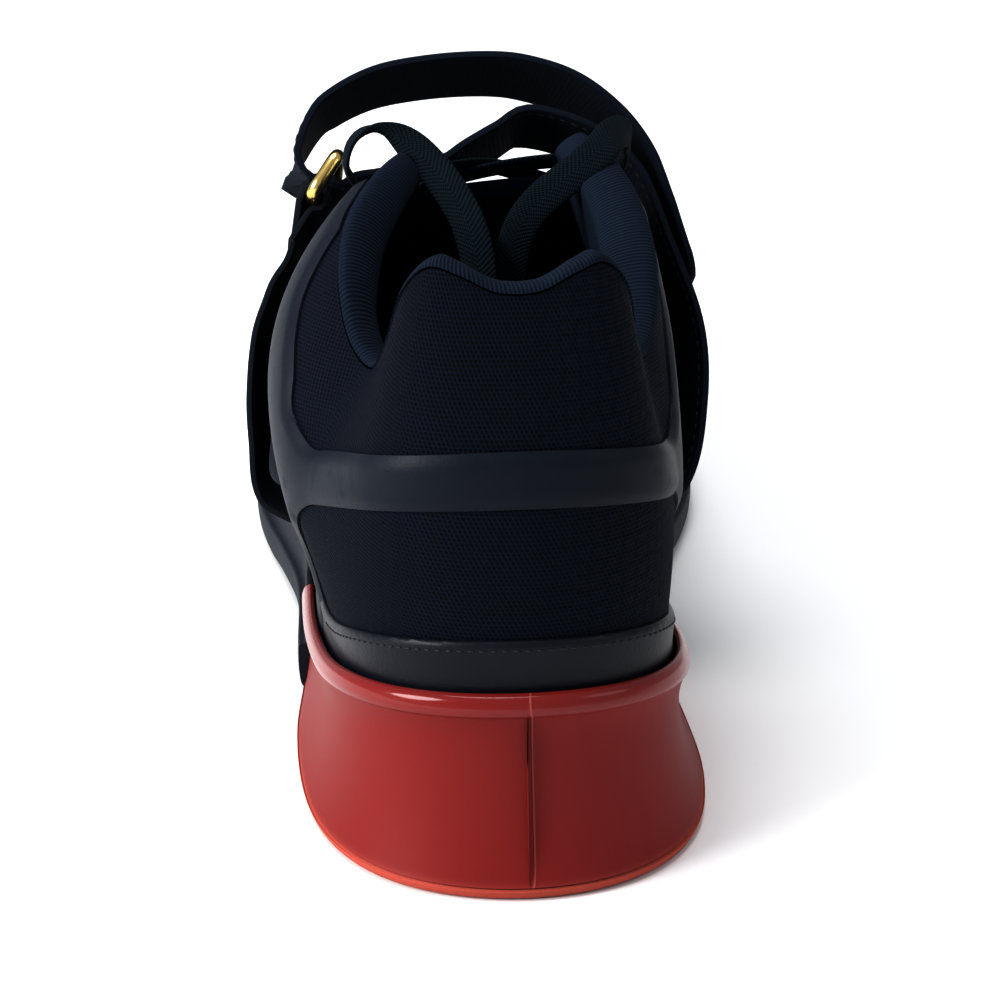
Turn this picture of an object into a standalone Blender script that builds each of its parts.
"""Left weightlifting shoe, standing empty on its sole.

Metres. +Y points to the toe, +Z up and +X to the medial side. The origin is on the floor under the
middle of the heel. Every form of the upper comes from one surface, upper_surface(turn, rise): turn goes
round the shoe from the back of the heel (0) over the medial side to the toe (half a turn) and back over
the lateral side (negative turns), and rise goes from the feather line (0) to the collar and throat (1).
"""

import math

import bmesh
import bpy
from mathutils import Vector

for thing in list(bpy.data.objects):
    bpy.data.objects.remove(thing, do_unlink=True)

# Sizes of the last and the sole
last_length = 0.283
ball_width = 0.106
collar_height = 0.1195
heel_reach = 0.045
heel_flare = 0.006
heel_stack = 0.028
forefoot_stack = 0.0105
rim_height = 0.014
arch_rise = 0.003
toe_spring = 0.011
outsole_thickness = 0.0024
heel_block_length = 0.100

# Walls and layers
clearance = 0.0003
upper_wall = 0.0024
overlay = 0.001
soft_gap = 0.0005
foxing_thickness = 0.0012
lining_thickness = 0.002
collar_pad = 0.008
medial_lift = 0.003
lateral_shoulder = 1.35
lateral_fullness = 0.9
insole_play = 0.0012
insole_thickness = 0.0035
tongue_thickness = 0.004
lip_wall = 0.0026
lip_height = 0.0036
waist_height = 0.010
toe_bumper = 0.0028

# Frame, foxing and eyestay
band_height = 0.0905
band_width = 0.0112
band_fall = 0.34
foxing_width = 0.0105
eyestay_width = 0.016
eyelet_inset = 0.0075
eyelet_radius = 0.0021
eyelets_a_side = 6

# Strap, ring and laces
strap_width = 0.027
strap_thickness = 0.0018
anchor_thickness = 0.0016
ring_wire = 0.0034
ring_height = 0.0098
lace_width = 0.0072
lace_thickness = 0.0013
lace_end_diameter = 0.0032

half_turn = math.pi
degree = math.pi / 180

# The turns, in degrees, at which every piece round the last has its sections
stations = (
    0, 4, 8, 12, 16.5, 21, 26, 31, 36, 41.5, 47, 53, 59, 65, 71, 77, 83,
    90, 98, 106, 114, 122, 130, 138, 145, 151, 157, 162, 167, 171.5, 176, 180,
)
rise_levels = (0, 0.1, 0.22, 0.36, 0.5, 0.64, 0.78, 0.9, 1)
# The share of the upper's rise that the sole holds upright
held_rise = 0.1

# The feather line of the last: share along it, shift of its middle and half width in ball widths
outline_rows = (
    # along, middle, half
    (0.00, 0.000, 0.352),
    (0.15, -0.006, 0.346),
    (0.25, -0.014, 0.338),
    (0.35, -0.010, 0.334),
    (0.45, 0.011, 0.345),
    (0.55, 0.040, 0.402),
    (0.65, 0.062, 0.460),
    (0.72, 0.074, 0.474),
    (0.80, 0.084, 0.464),
    (0.88, 0.096, 0.442),
    (0.95, 0.108, 0.420),
    (1.00, 0.114, 0.402),
)
heel_squareness = 7.6
toe_squareness = 6.4

# Heights along the sole: drop is the foot bed between forefoot (0) and heel (1), rim is the sole's edge
# above the foot bed in rim heights, arch and spring raise the underside
sole_rows = (
    # along, drop, rim, arch, spring
    (0.00, 1.00, 1.00, 0.0, 0.00),
    (0.07, 1.00, 0.72, 0.0, 0.00),
    (0.14, 0.98, 0.44, 0.0, 0.00),
    (0.22, 0.86, 0.34, 0.0, 0.00),
    (0.32, 0.63, 0.33, 0.0, 0.00),
    (0.40, 0.46, 0.36, 0.3, 0.00),
    (0.46, 0.34, 0.42, 1.0, 0.00),
    (0.54, 0.20, 0.50, 0.6, 0.00),
    (0.60, 0.10, 0.56, 0.0, 0.00),
    (0.70, 0.00, 0.62, 0.0, 0.00),
    (0.78, 0.00, 0.66, 0.0, 0.05),
    (0.86, 0.00, 0.70, 0.0, 0.30),
    (0.94, 0.00, 0.74, 0.0, 0.70),
    (1.00, 0.00, 0.78, 0.0, 1.00),
)

# The upper by turn in degrees: where its top edge lies (share along the last, shift of the middle and half
# gap in ball widths, height in collar heights), how round its section is and how far its sides bulge
upper_rows = (
    # turn, along, middle, gap, height, round, lateral, medial, pad
    (0, 0.025, -0.010, 0.000, 1.000, 0.05, 0.036, 0.036, 0.14),
    (12, 0.030, -0.010, 0.104, 1.030, 0.05, 0.038, 0.036, 0.14),
    (20, 0.039, -0.010, 0.158, 1.038, 0.05, 0.042, 0.036, 0.16),
    (27, 0.057, -0.008, 0.200, 0.985, 0.06, 0.048, 0.036, 0.24),
    (35, 0.092, -0.006, 0.228, 0.870, 0.08, 0.060, 0.036, 0.50),
    (44, 0.134, -0.004, 0.252, 0.795, 0.10, 0.080, 0.036, 0.85),
    (53, 0.170, -0.002, 0.290, 0.822, 0.10, 0.097, 0.036, 1.00),
    (62, 0.212, 0.000, 0.302, 0.893, 0.12, 0.106, 0.036, 1.00),
    (71, 0.261, 0.004, 0.283, 0.952, 0.16, 0.112, 0.036, 0.95),
    (79, 0.307, 0.012, 0.236, 0.992, 0.22, 0.104, 0.036, 0.80),
    (86, 0.346, 0.020, 0.180, 1.008, 0.30, 0.076, 0.034, 0.50),
    (93, 0.375, 0.022, 0.178, 0.950, 0.36, 0.052, 0.032, 0.35),
    (104, 0.428, 0.024, 0.172, 0.858, 0.46, 0.036, 0.028, 0.30),
    (118, 0.498, 0.034, 0.156, 0.752, 0.62, 0.024, 0.022, 0.30),
    (132, 0.569, 0.048, 0.140, 0.665, 0.78, 0.014, 0.014, 0.30),
    (146, 0.629, 0.060, 0.122, 0.596, 0.90, 0.006, 0.006, 0.30),
    (160, 0.678, 0.068, 0.094, 0.543, 0.97, 0.000, 0.000, 0.30),
    (172, 0.703, 0.071, 0.048, 0.515, 1.00, 0.000, 0.000, 0.30),
    (180, 0.710, 0.072, 0.000, 0.507, 1.00, 0.000, 0.000, 0.30),
)

# How far the heel block's foot stands outside the feather line, in heel flares
flare_rows = (
    # turn, lateral, medial
    (0, 1.00, 1.00),
    (40, 0.95, 1.02),
    (60, 0.72, 1.14),
    (72, 0.36, 0.90),
    (80, 0.30, 0.76),
)

# The side frame's arms: their back edge and front edge by height in collar heights, as turns in degrees
arm_rows = (
    # height, back, front
    (0.20, 50, 68),
    (0.30, 56, 70),
    (0.40, 57, 71),
    (0.50, 51, 71),
    (0.58, 47, 71),
    (0.65, 49, 72),
    (0.69, 54, 73),
    (0.74, 57, 75),
    (0.79, 61, 77),
    (0.84, 65, 80),
    (0.90, 68, 83),
    (0.96, 71, 85),
    (1.02, 75, 86),
)

# The strap's middle line from the medial sole over the instep to the ring and back to its end, in ball
# widths, shares of the last and collar heights, with the fall of its width towards the toe in degrees
# and the splay of its width, the step across for each step towards the toe
strap_rows = (
    # across, along, height, fall, splay
    (0.424, 0.405, 0.345, 9, -0.08),
    (0.449, 0.418, 0.490, 14, -0.20),
    (0.443, 0.436, 0.610, 20, -0.21),
    (0.394, 0.456, 0.740, 28, -0.14),
    (0.350, 0.472, 0.849, 32, -0.05),
    (0.287, 0.480, 0.910, 34, 0.00),
    (0.224, 0.484, 0.940, 34, 0.00),
    (0.161, 0.487, 0.957, 34, 0.00),
    (0.113, 0.487, 0.960, 34, 0.00),
    (0.067, 0.484, 0.938, 34, 0.00),
    (-0.003, 0.480, 0.905, 34, 0.00),
    (-0.055, 0.476, 0.879, 34, 0.00),
    (-0.123, 0.474, 0.867, 34, 0.00),
    (-0.189, 0.473, 0.858, 34, 0.00),
    (-0.235, 0.472, 0.853, 34, 0.00),
)
return_rows = (
    # across, along, height, fall, splay
    (-0.341, 0.476, 0.882, 34, 0.00),
    (-0.345, 0.480, 0.912, 34, 0.00),
    (-0.322, 0.487, 0.957, 34, 0.00),
    (-0.286, 0.492, 0.993, 34, 0.00),
    (-0.194, 0.498, 1.032, 34, 0.00),
    (-0.089, 0.500, 1.049, 34, 0.00),
    (0.032, 0.501, 1.054, 34, 0.00),
    (0.119, 0.500, 1.047, 34, 0.00),
    (0.223, 0.495, 1.017, 34, 0.00),
    (0.311, 0.487, 0.960, 34, 0.00),
    (0.366, 0.478, 0.897, 33, -0.03),
    (0.398, 0.469, 0.826, 29, -0.08),
    (0.428, 0.458, 0.732, 23, -0.15),
    (0.450, 0.447, 0.668, 19, -0.19),
)
ring_across = -0.296
ring_along = 0.471
ring_up = 0.8485
ring_fall = 34 * degree
ring_lean = 56 * degree

# The short lateral ribbon below the ring, in the same shares as the strap
anchor_rows = (
    # across, along, height, fall, splay
    (-0.368, 0.452, 0.738, 34, 0.03),
    (-0.398, 0.446, 0.682, 31, 0.10),
    (-0.427, 0.440, 0.606, 26, 0.17),
    (-0.442, 0.432, 0.505, 20, 0.19),
    (-0.444, 0.424, 0.427, 16, 0.17),
    (-0.438, 0.414, 0.327, 12, 0.10),
)
strap_foot_turn = 79 * degree

# Free lace ends, points in millimetres from the origin
lateral_end_points = (
    (-25.5, 68.0, 111.8),
    (-27.6, 66.5, 116.0),
    (-27.2, 66.0, 120.2),
    (-25.0, 65.0, 123.6),
    (-21.0, 62.5, 125.4),
    (-15.6, 59.0, 123.6),
    (-10.3, 54.0, 119.3),
    (-6.5, 49.0, 114.8),
    (-3.6, 44.0, 109.5),
    (-2.2, 40.0, 103.0),
    (-2.0, 37.5, 95.0),
    (-2.6, 37.0, 85.0),
    (-4.2, 37.8, 74.0),
    (-6.8, 39.5, 62.0),
    (-9.0, 41.5, 50.0),
    (-10.5, 43.5, 40.0),
    (-10.8, 47.0, 32.6),
    (-9.5, 52.5, 28.6),
    (-7.5, 59.0, 27.0),
)
medial_end_points = (
    (28.5, 68.5, 111.8),
    (31.0, 66.0, 116.0),
    (31.6, 61.5, 121.0),
    (30.3, 56.5, 125.0),
    (27.0, 50.0, 126.6),
    (22.8, 43.5, 124.6),
    (17.2, 40.5, 121.0),
    (12.0, 41.0, 116.6),
    (8.0, 42.0, 111.6),
    (5.6, 43.0, 105.0),
    (4.8, 44.0, 96.0),
    (5.6, 45.0, 86.0),
    (8.0, 46.0, 75.0),
    (11.0, 47.0, 64.0),
    (13.2, 48.0, 53.0),
    (14.2, 49.5, 42.5),
    (14.0, 53.0, 33.0),
    (12.5, 58.5, 28.4),
    (10.5, 65.0, 26.4),
)


def read(rows, column, at):
    """One column of a table at a place between its rows, on a smooth curve through them."""
    at = min(max(at, rows[0][0]), rows[-1][0])
    last = len(rows) - 1
    low = max(index for index in range(last) if rows[index][0] <= at)

    def slope(index):
        before = rows[max(index - 1, 0)]
        after = rows[min(index + 1, last)]
        return (after[column] - before[column]) / (after[0] - before[0])

    span = rows[low + 1][0] - rows[low][0]
    part = (at - rows[low][0]) / span
    start = rows[low][column]
    end = rows[low + 1][column]
    square = part * part
    cube = square * part
    return (
        (2 * cube - 3 * square + 1) * start
        + (cube - 2 * square + part) * span * slope(low)
        + (3 * square - 2 * cube) * end
        + (cube - square) * span * slope(low + 1)
    )


def ease(low, high, at):
    """From 0 below low to 1 above high, with a smooth step between."""
    part = min(max((at - low) / (high - low), 0), 1)
    return part * part * (3 - 2 * part)


def mix(start, end, part):
    return start + (end - start) * part


def share_along(turn):
    return (1 - math.cos(turn)) / 2


def side_of(turn):
    """1 on the medial side, -1 on the lateral side."""
    return 1 if math.sin(turn) >= 0 else -1


def wrapped_degrees(turn):
    """The turn without its side, from 0 at the heel to 180 at the toe."""
    return abs(math.degrees(math.atan2(math.sin(turn), math.cos(turn))))


def along_last(share):
    return heel_flare - heel_reach + last_length * share


def plan(turn):
    """The feather line seen from above."""
    share = share_along(turn)
    squareness = mix(heel_squareness, toe_squareness, share)
    end_round = math.sqrt(max(1 - abs(math.cos(turn)) ** squareness, 0))
    across = read(outline_rows, 1, share) + side_of(turn) * read(outline_rows, 2, share) * end_round
    return Vector((ball_width * across, along_last(share), 0))


def outward(turn):
    """The feather line's outward direction, square across the shoe where the sole's halves meet."""
    step = 0.002
    run = plan(turn + step) - plan(turn - step)
    share = share_along(turn)
    straight = ease(0.26, 0.34, share) * (1 - ease(0.46, 0.54, share))
    return Vector((run.y, -run.x * (1 - straight), 0)).normalized()


def bed_height(share):
    rise = read(sole_rows, 1, share)
    spring = read(sole_rows, 4, share)
    return forefoot_stack + (heel_stack - forefoot_stack) * rise + toe_spring * spring


def rim_top(share):
    return bed_height(share) + rim_height * read(sole_rows, 2, share)


def floor_height(share):
    return arch_rise * max(read(sole_rows, 3, share), 0) + toe_spring * max(read(sole_rows, 4, share), 0)


def outline_point(turn, outset, height):
    place = plan(turn) + outward(turn) * outset
    place.z = height
    return place


shell_inset = foxing_thickness + clearance
split_share = (heel_block_length - heel_flare) / last_length
split_gap = clearance / last_length
# Ahead of the side frame's arms the sole's rim closes in on the upper
hug_shares = (0.36, 0.42)


def upper_surface(turn, rise):
    """A point of the upper's outer face."""
    around = wrapped_degrees(turn)
    share = share_along(turn)
    foot = outline_point(turn, -shell_inset, bed_height(share) + soft_gap)
    middle = read(upper_rows, 2, around)
    gap = read(upper_rows, 3, around)
    edge = Vector((
        ball_width * (middle + side_of(turn) * max(gap, 0)),
        along_last(read(upper_rows, 1, around)),
        collar_height * read(upper_rows, 4, around),
    ))
    if side_of(turn) > 0:
        edge.z += medial_lift * ease(44, 84, around) * (1 - ease(90, 130, around))
    roundness = read(upper_rows, 5, around)
    angle = rise * math.pi / 2
    inwards = mix(rise, 1 - math.cos(angle), roundness)
    upwards = mix(rise, math.sin(angle), roundness)
    lateral = read(upper_rows, 6, around)
    medial = read(upper_rows, 7, around)
    bulge = lateral if side_of(turn) < 0 else medial
    place = Vector((
        mix(foot.x, edge.x, inwards),
        mix(foot.y, edge.y, inwards),
        mix(foot.z, edge.z, upwards),
    ))
    free = max(rise - held_rise, 0) / (1 - held_rise)
    shoulder = ease(30, 60, around) if side_of(turn) < 0 else 0
    swell = math.sin(math.pi * free ** mix(1, lateral_shoulder, shoulder)) ** mix(1.2, lateral_fullness, shoulder)
    return place + outward(turn) * ball_width * bulge * swell


def upper_normal(turn, rise):
    """The outward direction of the upper's outer face."""
    step = 0.004
    low = max(rise - step, 0)
    high = min(rise + step, 1)
    run = upper_surface(turn + step, rise) - upper_surface(turn - step, rise)
    climb = upper_surface(turn, high) - upper_surface(turn, low)
    return run.cross(climb).normalized()


def wall_point(turn, rise, depth):
    """A point below (depth above 0) or above the upper's outer face."""
    return upper_surface(turn, rise) - upper_normal(turn, rise) * depth


def edge_point(turn, depth, above):
    """A point beside the collar's edge: depth goes in through the wall, above goes on up the wall."""
    climb = (upper_surface(turn, 1) - upper_surface(turn, 0.96)).normalized()
    return wall_point(turn, 1, depth) + climb * above


def rise_at_height(turn, height):
    """Where the outer face passes a height."""
    low, high = 0.0, 1.0
    for _ in range(24):
        middle = (low + high) / 2
        if upper_surface(turn, middle).z < height:
            low = middle
        else:
            high = middle
    return low


def rise_below_edge(turn, distance):
    """Where the outer face lies a distance down from its top edge."""
    edge = upper_surface(turn, 1)
    low, high = 0.0, 1.0
    for _ in range(24):
        middle = (low + high) / 2
        if (upper_surface(turn, middle) - edge).length > distance:
            low = middle
        else:
            high = middle
    return low


shoe = bpy.data.collections.new("weightlifting_shoe")
cutters = bpy.data.collections.new("cutters")
bpy.context.scene.collection.children.link(shoe)
bpy.context.scene.collection.children.link(cutters)


def material(name, colour, roughness, metallic=0.0):
    made = bpy.data.materials.new(name)
    made.use_nodes = True
    shader = made.node_tree.nodes["Principled BSDF"]
    shader.inputs["Base Color"].default_value = (*colour, 1)
    shader.inputs["Roughness"].default_value = roughness
    shader.inputs["Metallic"].default_value = metallic
    return made


def mesh_object(name, points, faces, finish, collection=shoe):
    """One object from points and faces, with its doubles merged and its faces turned out."""
    build = bmesh.new()
    corners = [build.verts.new(point) for point in points]
    for face in faces:
        build.faces.new([corners[index] for index in face])
    bmesh.ops.remove_doubles(build, verts=build.verts, dist=0.00001)
    unused = [corner for corner in build.verts if not corner.link_faces]
    bmesh.ops.delete(build, geom=unused, context="VERTS")
    bmesh.ops.recalc_face_normals(build, faces=build.faces)
    bmesh.ops.triangulate(build, faces=build.faces, quad_method="SHORT_EDGE")
    mesh = bpy.data.meshes.new(name)
    build.to_mesh(mesh)
    build.free()
    mesh.materials.append(finish)
    mesh.shade_smooth()
    mesh.set_sharp_from_angle(angle=40 * degree)
    made = bpy.data.objects.new(name, mesh)
    collection.objects.link(made)
    return made


def loft(name, sections, finish, closed=False, capped=(True, True)):
    """A solid through closed sections of equal count, joined in a ring or capped at its ends."""
    count = len(sections[0])
    points = [point for section in sections for point in section]
    faces = []
    for row in range(len(sections) if closed else len(sections) - 1):
        here = row * count
        there = (row + 1) % len(sections) * count
        for column in range(count):
            beside = (column + 1) % count
            faces.append((here + column, here + beside, there + beside, there + column))
    if not closed and capped[0]:
        faces.append(tuple(range(count)))
    if not closed and capped[1]:
        faces.append(tuple(len(points) - count + column for column in range(count)))
    return mesh_object(name, points, faces, finish)


def overlay_solid(name, rows, cells, top_depth, under_depth, finish):
    """A thin piece on the upper: rows of (turn, rise), with a wall round each edge of its cells."""
    width = len(rows[0])
    flat = [place for row in rows for place in row]
    points = [wall_point(turn, rise, top_depth) for turn, rise in flat]
    points += [wall_point(turn, rise, under_depth) for turn, rise in flat]
    under = len(flat)
    faces = []
    border = {}
    for row, column in cells:
        first = row * width + column
        ring = (first, first + 1, first + width + 1, first + width)
        faces.append(ring)
        faces.append(tuple(under + index for index in reversed(ring)))
        for start, end in zip(ring, ring[1:] + ring[:1]):
            if (end, start) in border:
                del border[(end, start)]
            else:
                border[(start, end)] = True
    for start, end in border:
        faces.append((end, start, under + start, under + end))
    return mesh_object(name, points, faces, finish)


def steps(start, end, count):
    return [mix(start, end, index / count) for index in range(count + 1)]


def stations_between(low, high):
    """The stations' turns between two turns of the same or of different sides, with both ends."""
    both = [side * turn * degree for turn in stations for side in (1, -1)]
    inner = [turn for turn in sorted(set(both)) if low + degree < turn < high - degree]
    return [low, *inner, high]


coral_rubber = material("coral_rubber", (0.60, 0.12, 0.075), 0.55)
red_plastic = material("red_plastic", (0.24, 0.026, 0.024), 0.32)
dark_rubber = material("dark_rubber", (0.008, 0.010, 0.016), 0.6)
foam = material("insole_foam", (0.012, 0.016, 0.026), 0.9)
mesh_cloth = material("mesh_cloth", (0.004, 0.007, 0.018), 0.85)
knit = material("lining_knit", (0.010, 0.018, 0.034), 0.9)
frame_plastic = material("frame_plastic", (0.034, 0.044, 0.062), 0.5)
smooth_synthetic = material("smooth_synthetic", (0.026, 0.032, 0.044), 0.4)
webbing = material("strap_webbing", (0.004, 0.006, 0.012), 0.7)
lace_cloth = material("lace_cloth", (0.005, 0.016, 0.026), 0.85)
gold = material("gold_metal", (0.70, 0.52, 0.20), 0.25, 1.0)


def flare_outset(turn):
    column = 1 if side_of(turn) < 0 else 2
    return heel_flare * read(flare_rows, column, wrapped_degrees(turn))


def heel_side(turn):
    """The heel block's side from its foot to its lip and down into the cup, as outsets and heights."""
    share = share_along(turn)
    foot = outsole_thickness + clearance
    rim = rim_top(share)
    waist = rim - waist_height * mix(1, 0.6, ease(0.1, 0.4, share))
    flare = flare_outset(turn)
    slim = 0.0008
    wall = [
        (mix(slim, flare, (1 - part) ** 2.1), mix(foot, waist, part))
        for part in (0, 0.1, 0.24, 0.44, 0.7, 1)
    ]
    crease = rim - lip_height - 0.0014
    lip = [
        (lip_wall - 0.0006, crease),
        (lip_wall + clearance, rim - lip_height),
        (lip_wall * 0.8 + clearance, rim - lip_height * 0.35),
        (lip_wall * 0.4 + clearance, rim),
        (clearance, rim),
    ]
    return wall + lip + [(clearance, bed_height(share))]


def beside_upper(turn, height):
    """The outset of a face that stands close outside the upper's held edge."""
    foot = upper_surface(turn, 0)
    held = upper_surface(turn, held_rise)
    place = foot.lerp(held, (height - foot.z) / (held.z - foot.z))
    return (place - plan(turn)).dot(outward(turn)) + soft_gap


def forefoot_side(turn):
    """The forefoot's side: a bevelled foot, a stepped wall and a rim close round the upper."""
    share = share_along(turn)
    under = floor_height(share)
    bed = bed_height(share)
    rim = rim_top(share)
    tall = rim - under
    hug = ease(*hug_shares, share)
    inner_top = mix(clearance, beside_upper(turn, rim), hug)
    inner_foot = mix(clearance, beside_upper(turn, bed), hug)
    return [
        (lip_wall * 0.3, under),
        (lip_wall + toe_bumper * 0.3, under + tall * 0.08),
        (lip_wall + toe_bumper * 0.5, under + tall * 0.32),
        (lip_wall + toe_bumper * 0.45, under + tall * 0.42),
        (lip_wall * 0.85, under + tall * 0.47),
        (lip_wall * 0.85, under + tall * 0.8),
        (lip_wall * 0.75, rim - 0.0008),
        (lip_wall * 0.45 + inner_top, rim),
        (inner_top, rim),
        (inner_foot, bed),
    ]


def sole_section(turn, side_rows, dip=0.0):
    """One cross-section of a sole piece: both sides, its underside and its foot bed."""
    medial = [outline_point(turn, outset, height) for outset, height in side_rows(turn)]
    lateral = [outline_point(-turn, outset, height) for outset, height in side_rows(-turn)]
    inner = []
    for part in (0.25, 0.5, 0.75):
        place = medial[-1].lerp(lateral[-1], part)
        place.z -= dip * math.sin(math.pi * part) * min(1, (medial[-1] - lateral[-1]).length / ball_width)
        inner.append(place)
    under = [lateral[0].lerp(medial[0], part) for part in (0.33, 0.67)]
    return medial + inner + lateral[::-1] + under


def turn_at(share):
    return math.acos(1 - 2 * share)


heel_turns = stations_between(0, turn_at(split_share - split_gap / 2))
heel_wedge = loft(
    "heel_wedge",
    [sole_section(turn, heel_side, 0.001) for turn in heel_turns],
    red_plastic,
    capped=(False, True),
)

toe_turns = stations_between(turn_at(split_share + split_gap / 2), half_turn)
forefoot_sole = loft(
    "forefoot_sole",
    [sole_section(turn, forefoot_side, 0.001) for turn in toe_turns],
    dark_rubber,
    capped=(True, False),
)


def outsole_side(turn):
    flare = flare_outset(turn)
    return [
        (flare - 0.0016, 0),
        (flare + 0.0001, 0.0012),
        (flare + 0.0004, outsole_thickness - 0.0006),
        (flare, outsole_thickness),
    ]


heel_outsole = loft(
    "heel_outsole",
    [sole_section(turn, outsole_side) for turn in heel_turns],
    coral_rubber,
    capped=(False, True),
)


def cut(target, cutter, name):
    change = target.modifiers.new(name, "BOOLEAN")
    change.operation = "DIFFERENCE"
    change.solver = "EXACT"
    change.object = cutter
    cutter.hide_render = True
    cutter.display_type = "WIRE"


def groove_cutters(name, shares, depth, width, reach):
    """Boxes across the underside, one for each share along the last."""
    build = bmesh.new()
    for share in shares:
        turn = turn_at(share)
        right = plan(turn).x
        left = plan(-turn).x
        made = bmesh.ops.create_cube(build, size=1)["verts"]
        bmesh.ops.scale(build, vec=((right - left) * reach, width, 2 * depth), verts=made)
        place = ((right + left) / 2, along_last(share), floor_height(share))
        bmesh.ops.translate(build, vec=place, verts=made)
    mesh = bpy.data.meshes.new(name)
    build.to_mesh(mesh)
    build.free()
    mesh.materials.append(dark_rubber)
    made = bpy.data.objects.new(name, mesh)
    cutters.objects.link(made)
    return made


groove_depth = 0.0014
groove_width = 0.003
heel_groove_shares = (0.06, 0.13, 0.20, 0.27)
flex_shares = (0.60, 0.645, 0.69, 0.735, 0.78)
heel_grooves = groove_cutters("heel_grooves", heel_groove_shares, groove_depth, groove_width, 0.74)
flex_grooves = groove_cutters("flex_grooves", flex_shares, groove_depth, groove_width, 0.84)
cut(heel_outsole, heel_grooves, "heel_grooves")
cut(forefoot_sole, flex_grooves, "flex_grooves")

# Insole: a soft plate inside the shell
insole_inset = shell_inset + upper_wall + insole_play


def insole_side(turn):
    bed = bed_height(share_along(turn)) + clearance
    return [
        (-insole_inset - 0.0008, bed),
        (-insole_inset - clearance, bed + insole_thickness * 0.4),
        (-insole_inset - clearance, bed + insole_thickness * 0.8),
        (-insole_inset - 0.0012, bed + insole_thickness),
    ]


insole = loft(
    "insole",
    [sole_section(turn, insole_side) for turn in steps(0, half_turn, 22)],
    foam,
    capped=(False, False),
)

# Upper: one shell right round, from the foot bed to the collar and throat
upper_turns = stations_between(-half_turn, half_turn)[1:]


def upper_section(turn):
    outside = [wall_point(turn, rise, 0) for rise in rise_levels]
    inside = [wall_point(turn, rise, upper_wall) for rise in reversed(rise_levels)]
    return outside + inside


upper = loft("upper", [upper_section(turn) for turn in upper_turns], mesh_cloth, closed=True)

# Collar lining: a pad inside the shell that rolls over its edge
lining_end = 85 * degree
lining_depth = upper_wall + soft_gap
roll_height = 0.0028


def lining_section(turn):
    around = wrapped_degrees(turn)
    pad = collar_pad * read(upper_rows, 8, around)
    roll = roll_height * mix(0.6, 1, read(upper_rows, 8, around))
    levels = rise_levels[1:]
    outside = [wall_point(turn, rise, lining_depth) for rise in levels]
    over = [
        edge_point(turn, lining_depth, soft_gap),
        edge_point(turn, 0, soft_gap),
        edge_point(turn, 0, soft_gap + roll * 0.5),
        edge_point(turn, mix(lining_depth, lining_depth + pad, 0.2), soft_gap + roll),
        edge_point(turn, mix(lining_depth, lining_depth + pad, 0.8), soft_gap + roll * 0.6),
    ]
    inside = []
    for rise in reversed(levels):
        thick = mix(lining_thickness, max(pad, lining_thickness), ease(0.45, 0.85, rise))
        inside.append(wall_point(turn, rise, lining_depth + thick))
    return outside + over + inside


lining_sections = [lining_section(turn) for turn in stations_between(-lining_end, lining_end)]
collar_lining = loft("collar_lining", lining_sections, knit)

# Side frame: two arms and a band round the heel, with open windows between them


def arm_edge(column, height):
    return read(arm_rows, column, height / collar_height) * degree


def band_top(turn):
    """The band falls towards the toe on both sides."""
    back = upper_surface(0, 0.7).y
    there = upper_surface(turn, 0.6).y
    return band_height - band_fall * (there - back)


def foxing_top(turn):
    share = share_along(turn)
    return rim_top(share) + foxing_width * mix(1, 0.62, ease(0, 0.2, share))


corner = 0.006


heel_stations = stations_between(-59 * degree, 59 * degree)
band_end = 45 * degree
band_stations = [turn for turn in heel_stations if abs(turn) < band_end]
arm_count = 3
below_count, band_count, above_count = 4, 2, 7


def frame_place(kind, side, part, level):
    """Turn and rise of one point of the frame: on an arm, or between the arms round the heel."""
    turn = side * 62 * degree if kind == "arm" else part
    height = band_height
    for _ in range(5):
        top = band_top(turn)
        bottom = top - band_width
        near_arm = 1 if kind == "arm" else abs(turn) / band_end
        swell = corner * 0.4 * ease(0.72, 1, near_arm)
        start = rim_top(share_along(turn)) - 0.003
        end = upper_surface(turn, 1).z
        if level <= below_count:
            height = mix(start, bottom - swell, level / below_count)
        elif level <= below_count + band_count:
            height = mix(bottom - swell, top + swell, (level - below_count) / band_count)
        else:
            height = mix(top + swell, end, (level - below_count - band_count) / above_count)
        if kind == "arm":
            turn = side * mix(arm_edge(1, height), arm_edge(2, height), part)
    return turn, rise_at_height(turn, height)


def frame_rows():
    """Turn and rise for each row and column of the frame, and the cells that are solid."""
    columns = [("arm", -1, 1 - index / arm_count) for index in range(arm_count + 1)]
    columns += [("heel", 0, turn) for turn in band_stations]
    columns += [("arm", 1, index / arm_count) for index in range(arm_count + 1)]
    levels = below_count + band_count + above_count
    rows = [[frame_place(*column, level) for column in columns] for level in range(levels + 1)]
    cells = []
    for level in range(levels):
        for column in range(len(columns) - 1):
            in_arm = column < arm_count or column >= len(columns) - 1 - arm_count
            if in_arm or below_count <= level < below_count + band_count:
                cells.append((level, column))
    return rows, cells


frame_grid, frame_cells = frame_rows()
frame_faces = (-soft_gap - overlay, -soft_gap)
side_frame = overlay_solid("side_frame", frame_grid, frame_cells, *frame_faces, frame_plastic)

# Heel foxing: a strip above the lip whose ends slant along the frame's arms
foxing_end_lift = 0.00025


def foxing_section(turn, slant):
    """A section of the strip; at its ends (slant 1 or -1) the section leans along the frame's arm."""
    rows = []
    for level in steps(0, 1, 2):
        place = turn
        for _ in range(6):
            height = mix(rim_top(share_along(place)) - 0.003, foxing_top(place), level)
            if slant:
                place = slant * (arm_edge(1, height) - 1.2 * degree)
        rows.append((place, rise_at_height(place, height)))
    off_shell = clearance + abs(slant) * foxing_end_lift
    top = [wall_point(place, rise, -off_shell - foxing_thickness) for place, rise in rows]
    under = [wall_point(place, rise, -off_shell) for place, rise in reversed(rows)]
    return top + under


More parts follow.
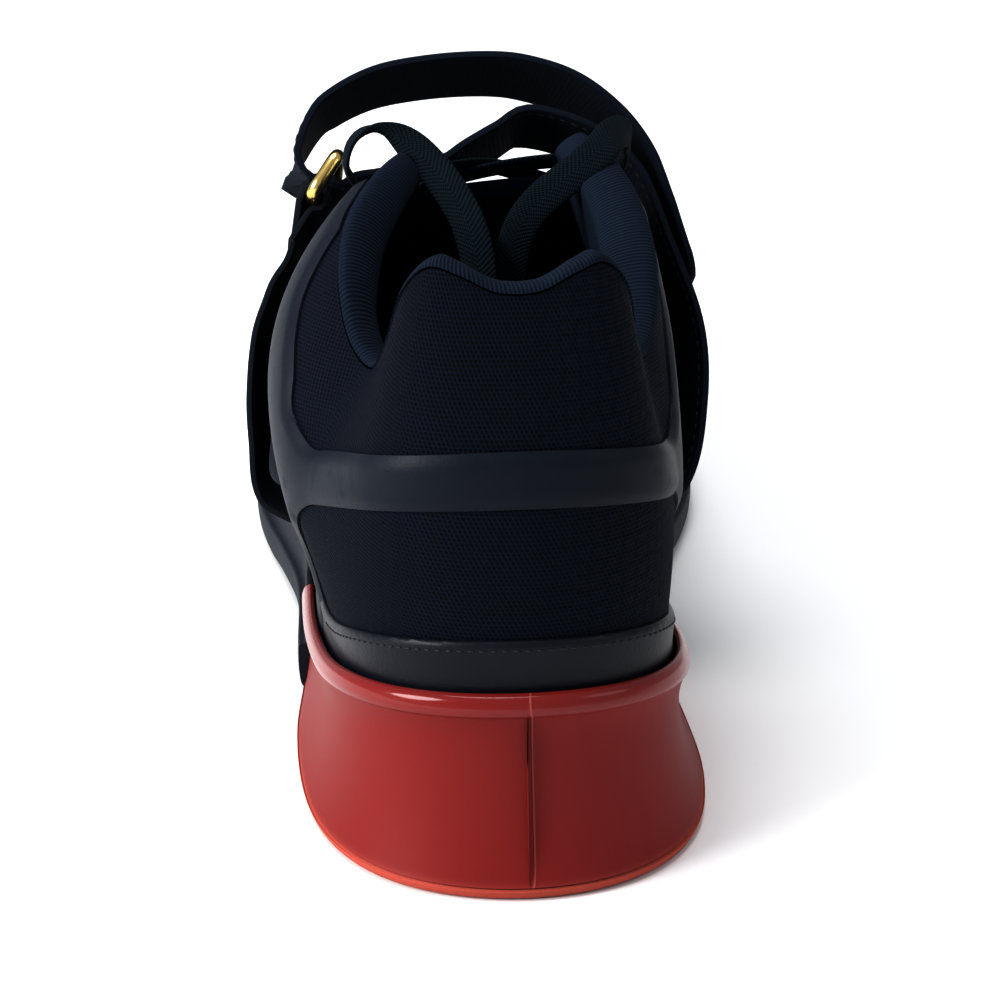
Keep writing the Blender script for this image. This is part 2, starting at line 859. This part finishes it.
foxing_sections = [foxing_section(turn, 0) for turn in heel_stations if abs(turn) < 48 * degree]
foxing_sections.insert(0, foxing_section(-50 * degree, -1))
foxing_sections.append(foxing_section(50 * degree, 1))
heel_foxing = loft("heel_foxing", foxing_sections, smooth_synthetic)

# Eyestay: a strip round the throat, from one collar front to the other
eyestay_start = 88 * degree
eyestay_turns = stations_between(eyestay_start, half_turn)
eyestay_turns += [2 * half_turn - turn for turn in eyestay_turns[-2::-1]]
top_level = 1 - 0.0004 / collar_height
eyestay_low = [(turn, rise_below_edge(turn, eyestay_width)) for turn in eyestay_turns]
eyestay_middle = [(turn, rise_levels[-2]) for turn in eyestay_turns]
eyestay_top = [(turn, top_level) for turn in eyestay_turns]
eyestay_cells = [(row, column) for row in range(2) for column in range(len(eyestay_turns) - 1)]
eyestay_rows = [eyestay_low, eyestay_middle, eyestay_top]
eyestay = overlay_solid("eyestay", eyestay_rows, eyestay_cells, *frame_faces, frame_plastic)

# Eyelet holes through eyestay and upper
eyelet_turns = steps(95 * degree, 161 * degree, eyelets_a_side - 1)


def eyelet(turn):
    """An eyelet's place on the upper and its outward direction."""
    rise = rise_below_edge(turn, eyelet_inset)
    return upper_surface(turn, rise), upper_normal(turn, rise)


punches = bmesh.new()
for turn in eyelet_turns:
    for side in (1, -1):
        place, normal = eyelet(side * turn)
        made = bmesh.ops.create_cone(
            punches, cap_ends=True, segments=8, radius1=eyelet_radius, radius2=eyelet_radius, depth=0.012
        )["verts"]
        bmesh.ops.rotate(punches, verts=made, matrix=normal.to_track_quat("Z", "Y").to_matrix())
        bmesh.ops.translate(punches, verts=made, vec=place)
punch_mesh = bpy.data.meshes.new("eyelet_punches")
punches.to_mesh(punch_mesh)
punches.free()
punch_mesh.materials.append(dark_rubber)
eyelet_punches = bpy.data.objects.new("eyelet_punches", punch_mesh)
cutters.objects.link(eyelet_punches)
cut(upper, eyelet_punches, "eyelets")
cut(eyestay, eyelet_punches, "eyelets")

# Tongue: a padded strip that follows the inside of the throat
tongue_depth = upper_wall + 0.0006
tongue_wings = (0.80, 0.87, 0.94, 1)


def tongue_section(turn):
    """A section across the throat: under one side, over the gap and under the other side."""
    wing = [wall_point(turn, rise, tongue_depth) for rise in tongue_wings]
    other = [wall_point(-turn, rise, tongue_depth) for rise in tongue_wings]
    lift = (wing[-1] - wing[-2]).normalized() + (other[-1] - other[-2]).normalized()
    lift.x = 0
    gap = (wing[-1] - other[-1]).length
    crown = mix(-0.30, 0.55, ease(92, 118, wrapped_degrees(turn)))
    bridge = []
    for part in (0.25, 0.5, 0.75):
        place = wing[-1].lerp(other[-1], part)
        bridge.append(place + lift * gap * crown * part * (1 - part))
    top = wing + bridge + other[::-1]
    ahead = upper_surface(turn + 0.03, 1) - upper_surface(turn - 0.03, 1)
    ahead.x = 0
    under = []
    last = len(top) - 1
    for index, place in enumerate(top):
        across = top[min(index + 1, last)] - top[max(index - 1, 0)]
        down = across.cross(ahead).normalized()
        if down.z > 0:
            down = -down
        thick = tongue_thickness * mix(0.5, 1, ease(0, 0.3, min(index, last - index) / last))
        under.append(place + down * thick)
    return top + under[::-1]


tongue = loft(
    "tongue",
    [tongue_section(turn) for turn in stations_between(94 * degree, 160 * degree)],
    knit,
)


def smooth_path(points, spacing):
    """A smooth curve through all the given points, at most a spacing apart; each may carry further values."""
    size = len(points[0])
    lengths = [0.0]
    for start, end in zip(points, points[1:]):
        lengths.append(lengths[-1] + math.dist(start[:3], end[:3]))
    rows = [(length, *point) for length, point in zip(lengths, points)]
    path = [tuple(points[0])]
    for start, end in zip(lengths, lengths[1:]):
        count = max(1, math.ceil((end - start) / spacing))
        for index in range(count):
            at = mix(start, end, (index + 1) / count)
            path.append(tuple(read(rows, column + 1, at) for column in range(size)))
    return path


def ribbon_sections(path, width, thickness, round_end=False):
    """Flat sections along a path of (x, y, z, fall, splay): fall turns the width down towards the toe
    and splay turns it away from the shoe's middle."""
    sections = []
    last = len(path) - 1
    for index, (x, y, z, fall, splay) in enumerate(path):
        before = Vector(path[max(index - 1, 0)][:3])
        after = Vector(path[min(index + 1, last)][:3])
        run = (after - before).normalized()
        across = Vector((splay, math.cos(fall), -math.sin(fall)))
        across = (across - run * across.dot(run)).normalized()
        out = run.cross(across)
        narrow = 1.0
        if round_end and last - index < 3:
            narrow = (0.62, 0.86, 0.97)[last - index]
        half = across * width / 2 * narrow
        up = out * thickness / 2
        centre = Vector((x, y, z))
        edge = half - half.normalized() * thickness * 0.35
        sections.append([
            centre - half,
            centre - edge + up,
            centre + edge + up,
            centre + half,
            centre + edge - up,
            centre - edge - up,
        ])
    return sections


def in_metres(rows):
    """Table shares of a strap as points with their fall and splay."""
    return [
        (ball_width * across, along_last(along), collar_height * height, fall * degree, splay)
        for across, along, height, fall, splay in rows
    ]


# Ring: a rectangular loop of wire, its long bars along the strap's width
ring_centre = Vector((ball_width * ring_across, along_last(ring_along), collar_height * ring_up))
ring_long = Vector((0, math.cos(ring_fall), -math.sin(ring_fall)))
ring_uphill = Vector((0, math.sin(ring_fall), math.cos(ring_fall)))
ring_short = Vector((math.cos(ring_lean), 0, 0)) + ring_uphill * math.sin(ring_lean)
ring_through = Vector((-math.sin(ring_lean), 0, 0)) + ring_uphill * math.cos(ring_lean)
ring_play = 0.0022
ring_length = strap_width + 2 * ring_play + ring_wire


def ring_curve():
    """The wire's middle line with rounded corners."""
    half_long = ring_length / 2
    half_short = ring_height / 2
    bend = 0.0018
    points = []
    for index in range(4):
        long_side = 1 if index in (0, 3) else -1
        short_side = 1 if index in (0, 1) else -1
        for part in steps(0, 1, 3):
            angle = (index + part) * math.pi / 2
            points.append(
                ring_centre
                + ring_long * (long_side * (half_long - bend) + bend * math.cos(angle))
                + ring_short * (short_side * (half_short - bend) + bend * math.sin(angle))
            )
    return points


def wire_object(name, points, radius, finish, cyclic=False):
    """A round wire along points, as a curve with a bevel."""
    curve = bpy.data.curves.new(name, "CURVE")
    curve.dimensions = "3D"
    curve.bevel_depth = radius
    curve.bevel_resolution = 1
    curve.use_fill_caps = not cyclic
    line = curve.splines.new("POLY")
    line.points.add(len(points) - 1)
    for target, place in zip(line.points, points):
        target.co = (*place, 1)
    line.use_cyclic_u = cyclic
    curve.materials.append(finish)
    made = bpy.data.objects.new(name, curve)
    shoe.objects.link(made)
    return made


strap_ring = wire_object("strap_ring", ring_curve(), ring_wire / 2, gold, cyclic=True)


def foot_of_strap(turn, lift, off_shell):
    """Where a strap stands over the sole's rim, close against the upper and along its side."""
    half = strap_thickness / 2
    place = outline_point(turn, half + off_shell - shell_inset, rim_top(share_along(turn)) + lift)
    run = plan(turn + 0.1) - plan(turn - 0.1)
    return (*place, 7 * degree, run.x / run.y)


foot_levels = ((0.0026, 0.0010), (0.010, 0.0024))

lower_bar = ring_centre - ring_short * ring_height / 2
wrap_radius = ring_wire / 2 + clearance + anchor_thickness / 2
wrap = []
for angle in (-70, -35, 0, 35, 70, 105, 140, 175, 205):
    around = math.radians(angle)
    turned = ring_short * math.sin(around) - ring_through * math.cos(around)
    wrap.append((*(lower_bar + turned * wrap_radius), ring_fall, 0.0))
tail_length = 0.008
tail = Vector(wrap[0][:3]) - ring_short * tail_length
anchor_feet = [foot_of_strap(-strap_foot_turn, *level) for level in reversed(foot_levels)]
anchor_path = [(*tail, ring_fall, 0.0), *wrap, *in_metres(anchor_rows), *anchor_feet]
strap_anchor = loft(
    "strap_anchor",
    ribbon_sections(smooth_path(anchor_path, 0.006), strap_width, anchor_thickness),
    webbing,
)

# Strap: from the medial sole over the instep, through the ring and back over itself
passage = ring_centre + ring_short * 0.0011
through_ring = [
    (*(passage - ring_through * 0.0035), ring_fall, 0.0),
    (*(passage + ring_through * 0.0035), ring_fall, 0.0),
]
strap_feet = [foot_of_strap(strap_foot_turn, *level) for level in foot_levels]
strap_path = [*strap_feet, *in_metres(strap_rows), *through_ring, *in_metres(return_rows)]
strap = loft(
    "strap",
    ribbon_sections(smooth_path(strap_path, 0.008), strap_width, strap_thickness, round_end=True),
    webbing,
)

# Lace crossings: flat ribbons from eyelet to eyelet, joined where they cross. They are laid out flat,
# joined, and then bent over the throat.
lace_lift = soft_gap + overlay + 0.0006
lace_pitch = 0.0195
lace_half_gap = 0.015
lace_reach = eyelet_inset + 0.001


def flat_ribbon(name, start, end, level):
    """A straight ribbon on the flat layout, level with or a little above its neighbours."""
    run = (end - start).normalized()
    across = Vector((-run.y, run.x, 0)) * lace_width / 2
    points = []
    for height in (level, level + lace_thickness):
        for place in (start - across, end - across, end + across, start + across):
            points.append(Vector((place.x, place.y, height)))
    faces = ((3, 2, 1, 0), (4, 5, 6, 7), (0, 1, 5, 4), (1, 2, 6, 5), (2, 3, 7, 6), (3, 0, 4, 7))
    return mesh_object(name, points, faces, lace_cloth, cutters)


def bent_lace(place):
    """A point of the flat layout on the throat."""
    row = min(max(place.y / lace_pitch, -0.4), eyelets_a_side - 0.6)
    turn = mix(eyelet_turns[0], eyelet_turns[-1], row / (eyelets_a_side - 1))
    side = 1 if place.x > 0 else -1
    out = abs(place.x) - lace_half_gap
    if out > 0:
        return wall_point(side * turn, rise_below_edge(side * turn, out), -lace_lift - place.z)
    medial = wall_point(turn, 1, -lace_lift - place.z)
    lateral = wall_point(-turn, 1, -lace_lift - place.z)
    part = (place.x / lace_half_gap + 1) / 2
    middle = lateral.lerp(medial, part)
    middle.z += (medial - lateral).length * 0.22 * part * (1 - part)
    return middle


lace_half = lace_half_gap + lace_reach
flat_lace = flat_ribbon(
    "flat_lace",
    Vector((-lace_half, lace_pitch * (eyelets_a_side - 1), 0)),
    Vector((lace_half, lace_pitch * (eyelets_a_side - 1), 0)),
    0.0001,
)
for row in range(eyelets_a_side - 1):
    for side, level in ((1, 0.0), (-1, 0.0002)):
        start = Vector((side * lace_half, lace_pitch * row, 0))
        end = Vector((-side * lace_half, lace_pitch * (row + 1), 0))
        piece = flat_ribbon(f"flat_lace_{row}_{side}", start, end, level)
        join = flat_lace.modifiers.new(piece.name, "BOOLEAN")
        join.operation = "UNION"
        join.solver = "EXACT"
        join.object = piece
bpy.context.view_layer.update()
joined = flat_lace.evaluated_get(bpy.context.evaluated_depsgraph_get())
lace_build = bmesh.new()
lace_build.from_mesh(joined.to_mesh())
for across in (-lace_half_gap, 0, lace_half_gap):
    everything = lace_build.verts[:] + lace_build.edges[:] + lace_build.faces[:]
    bmesh.ops.bisect_plane(lace_build, geom=everything, plane_co=(across, 0, 0), plane_no=(1, 0, 0))
for corner_point in lace_build.verts:
    corner_point.co = bent_lace(corner_point.co.copy())
bmesh.ops.triangulate(lace_build, faces=lace_build.faces)
lace_mesh = bpy.data.meshes.new("lace_crossings")
lace_build.to_mesh(lace_mesh)
lace_build.free()
lace_mesh.materials.append(lace_cloth)
lace_crossings = bpy.data.objects.new("lace_crossings", lace_mesh)
shoe.objects.link(lace_crossings)
for piece in [thing for thing in cutters.objects if thing.name.startswith("flat_lace")]:
    bpy.data.objects.remove(piece, do_unlink=True)


# Free lace ends: soft cords that drop over the throat into the shoe
def lace_end(name, points):
    path = smooth_path([tuple(value / 1000 for value in point) for point in points], 0.011)
    return wire_object(name, path, lace_end_diameter / 2, lace_cloth)


lace_end_lateral = lace_end("lace_end_lateral", lateral_end_points)
lace_end_medial = lace_end("lace_end_medial", medial_end_points)
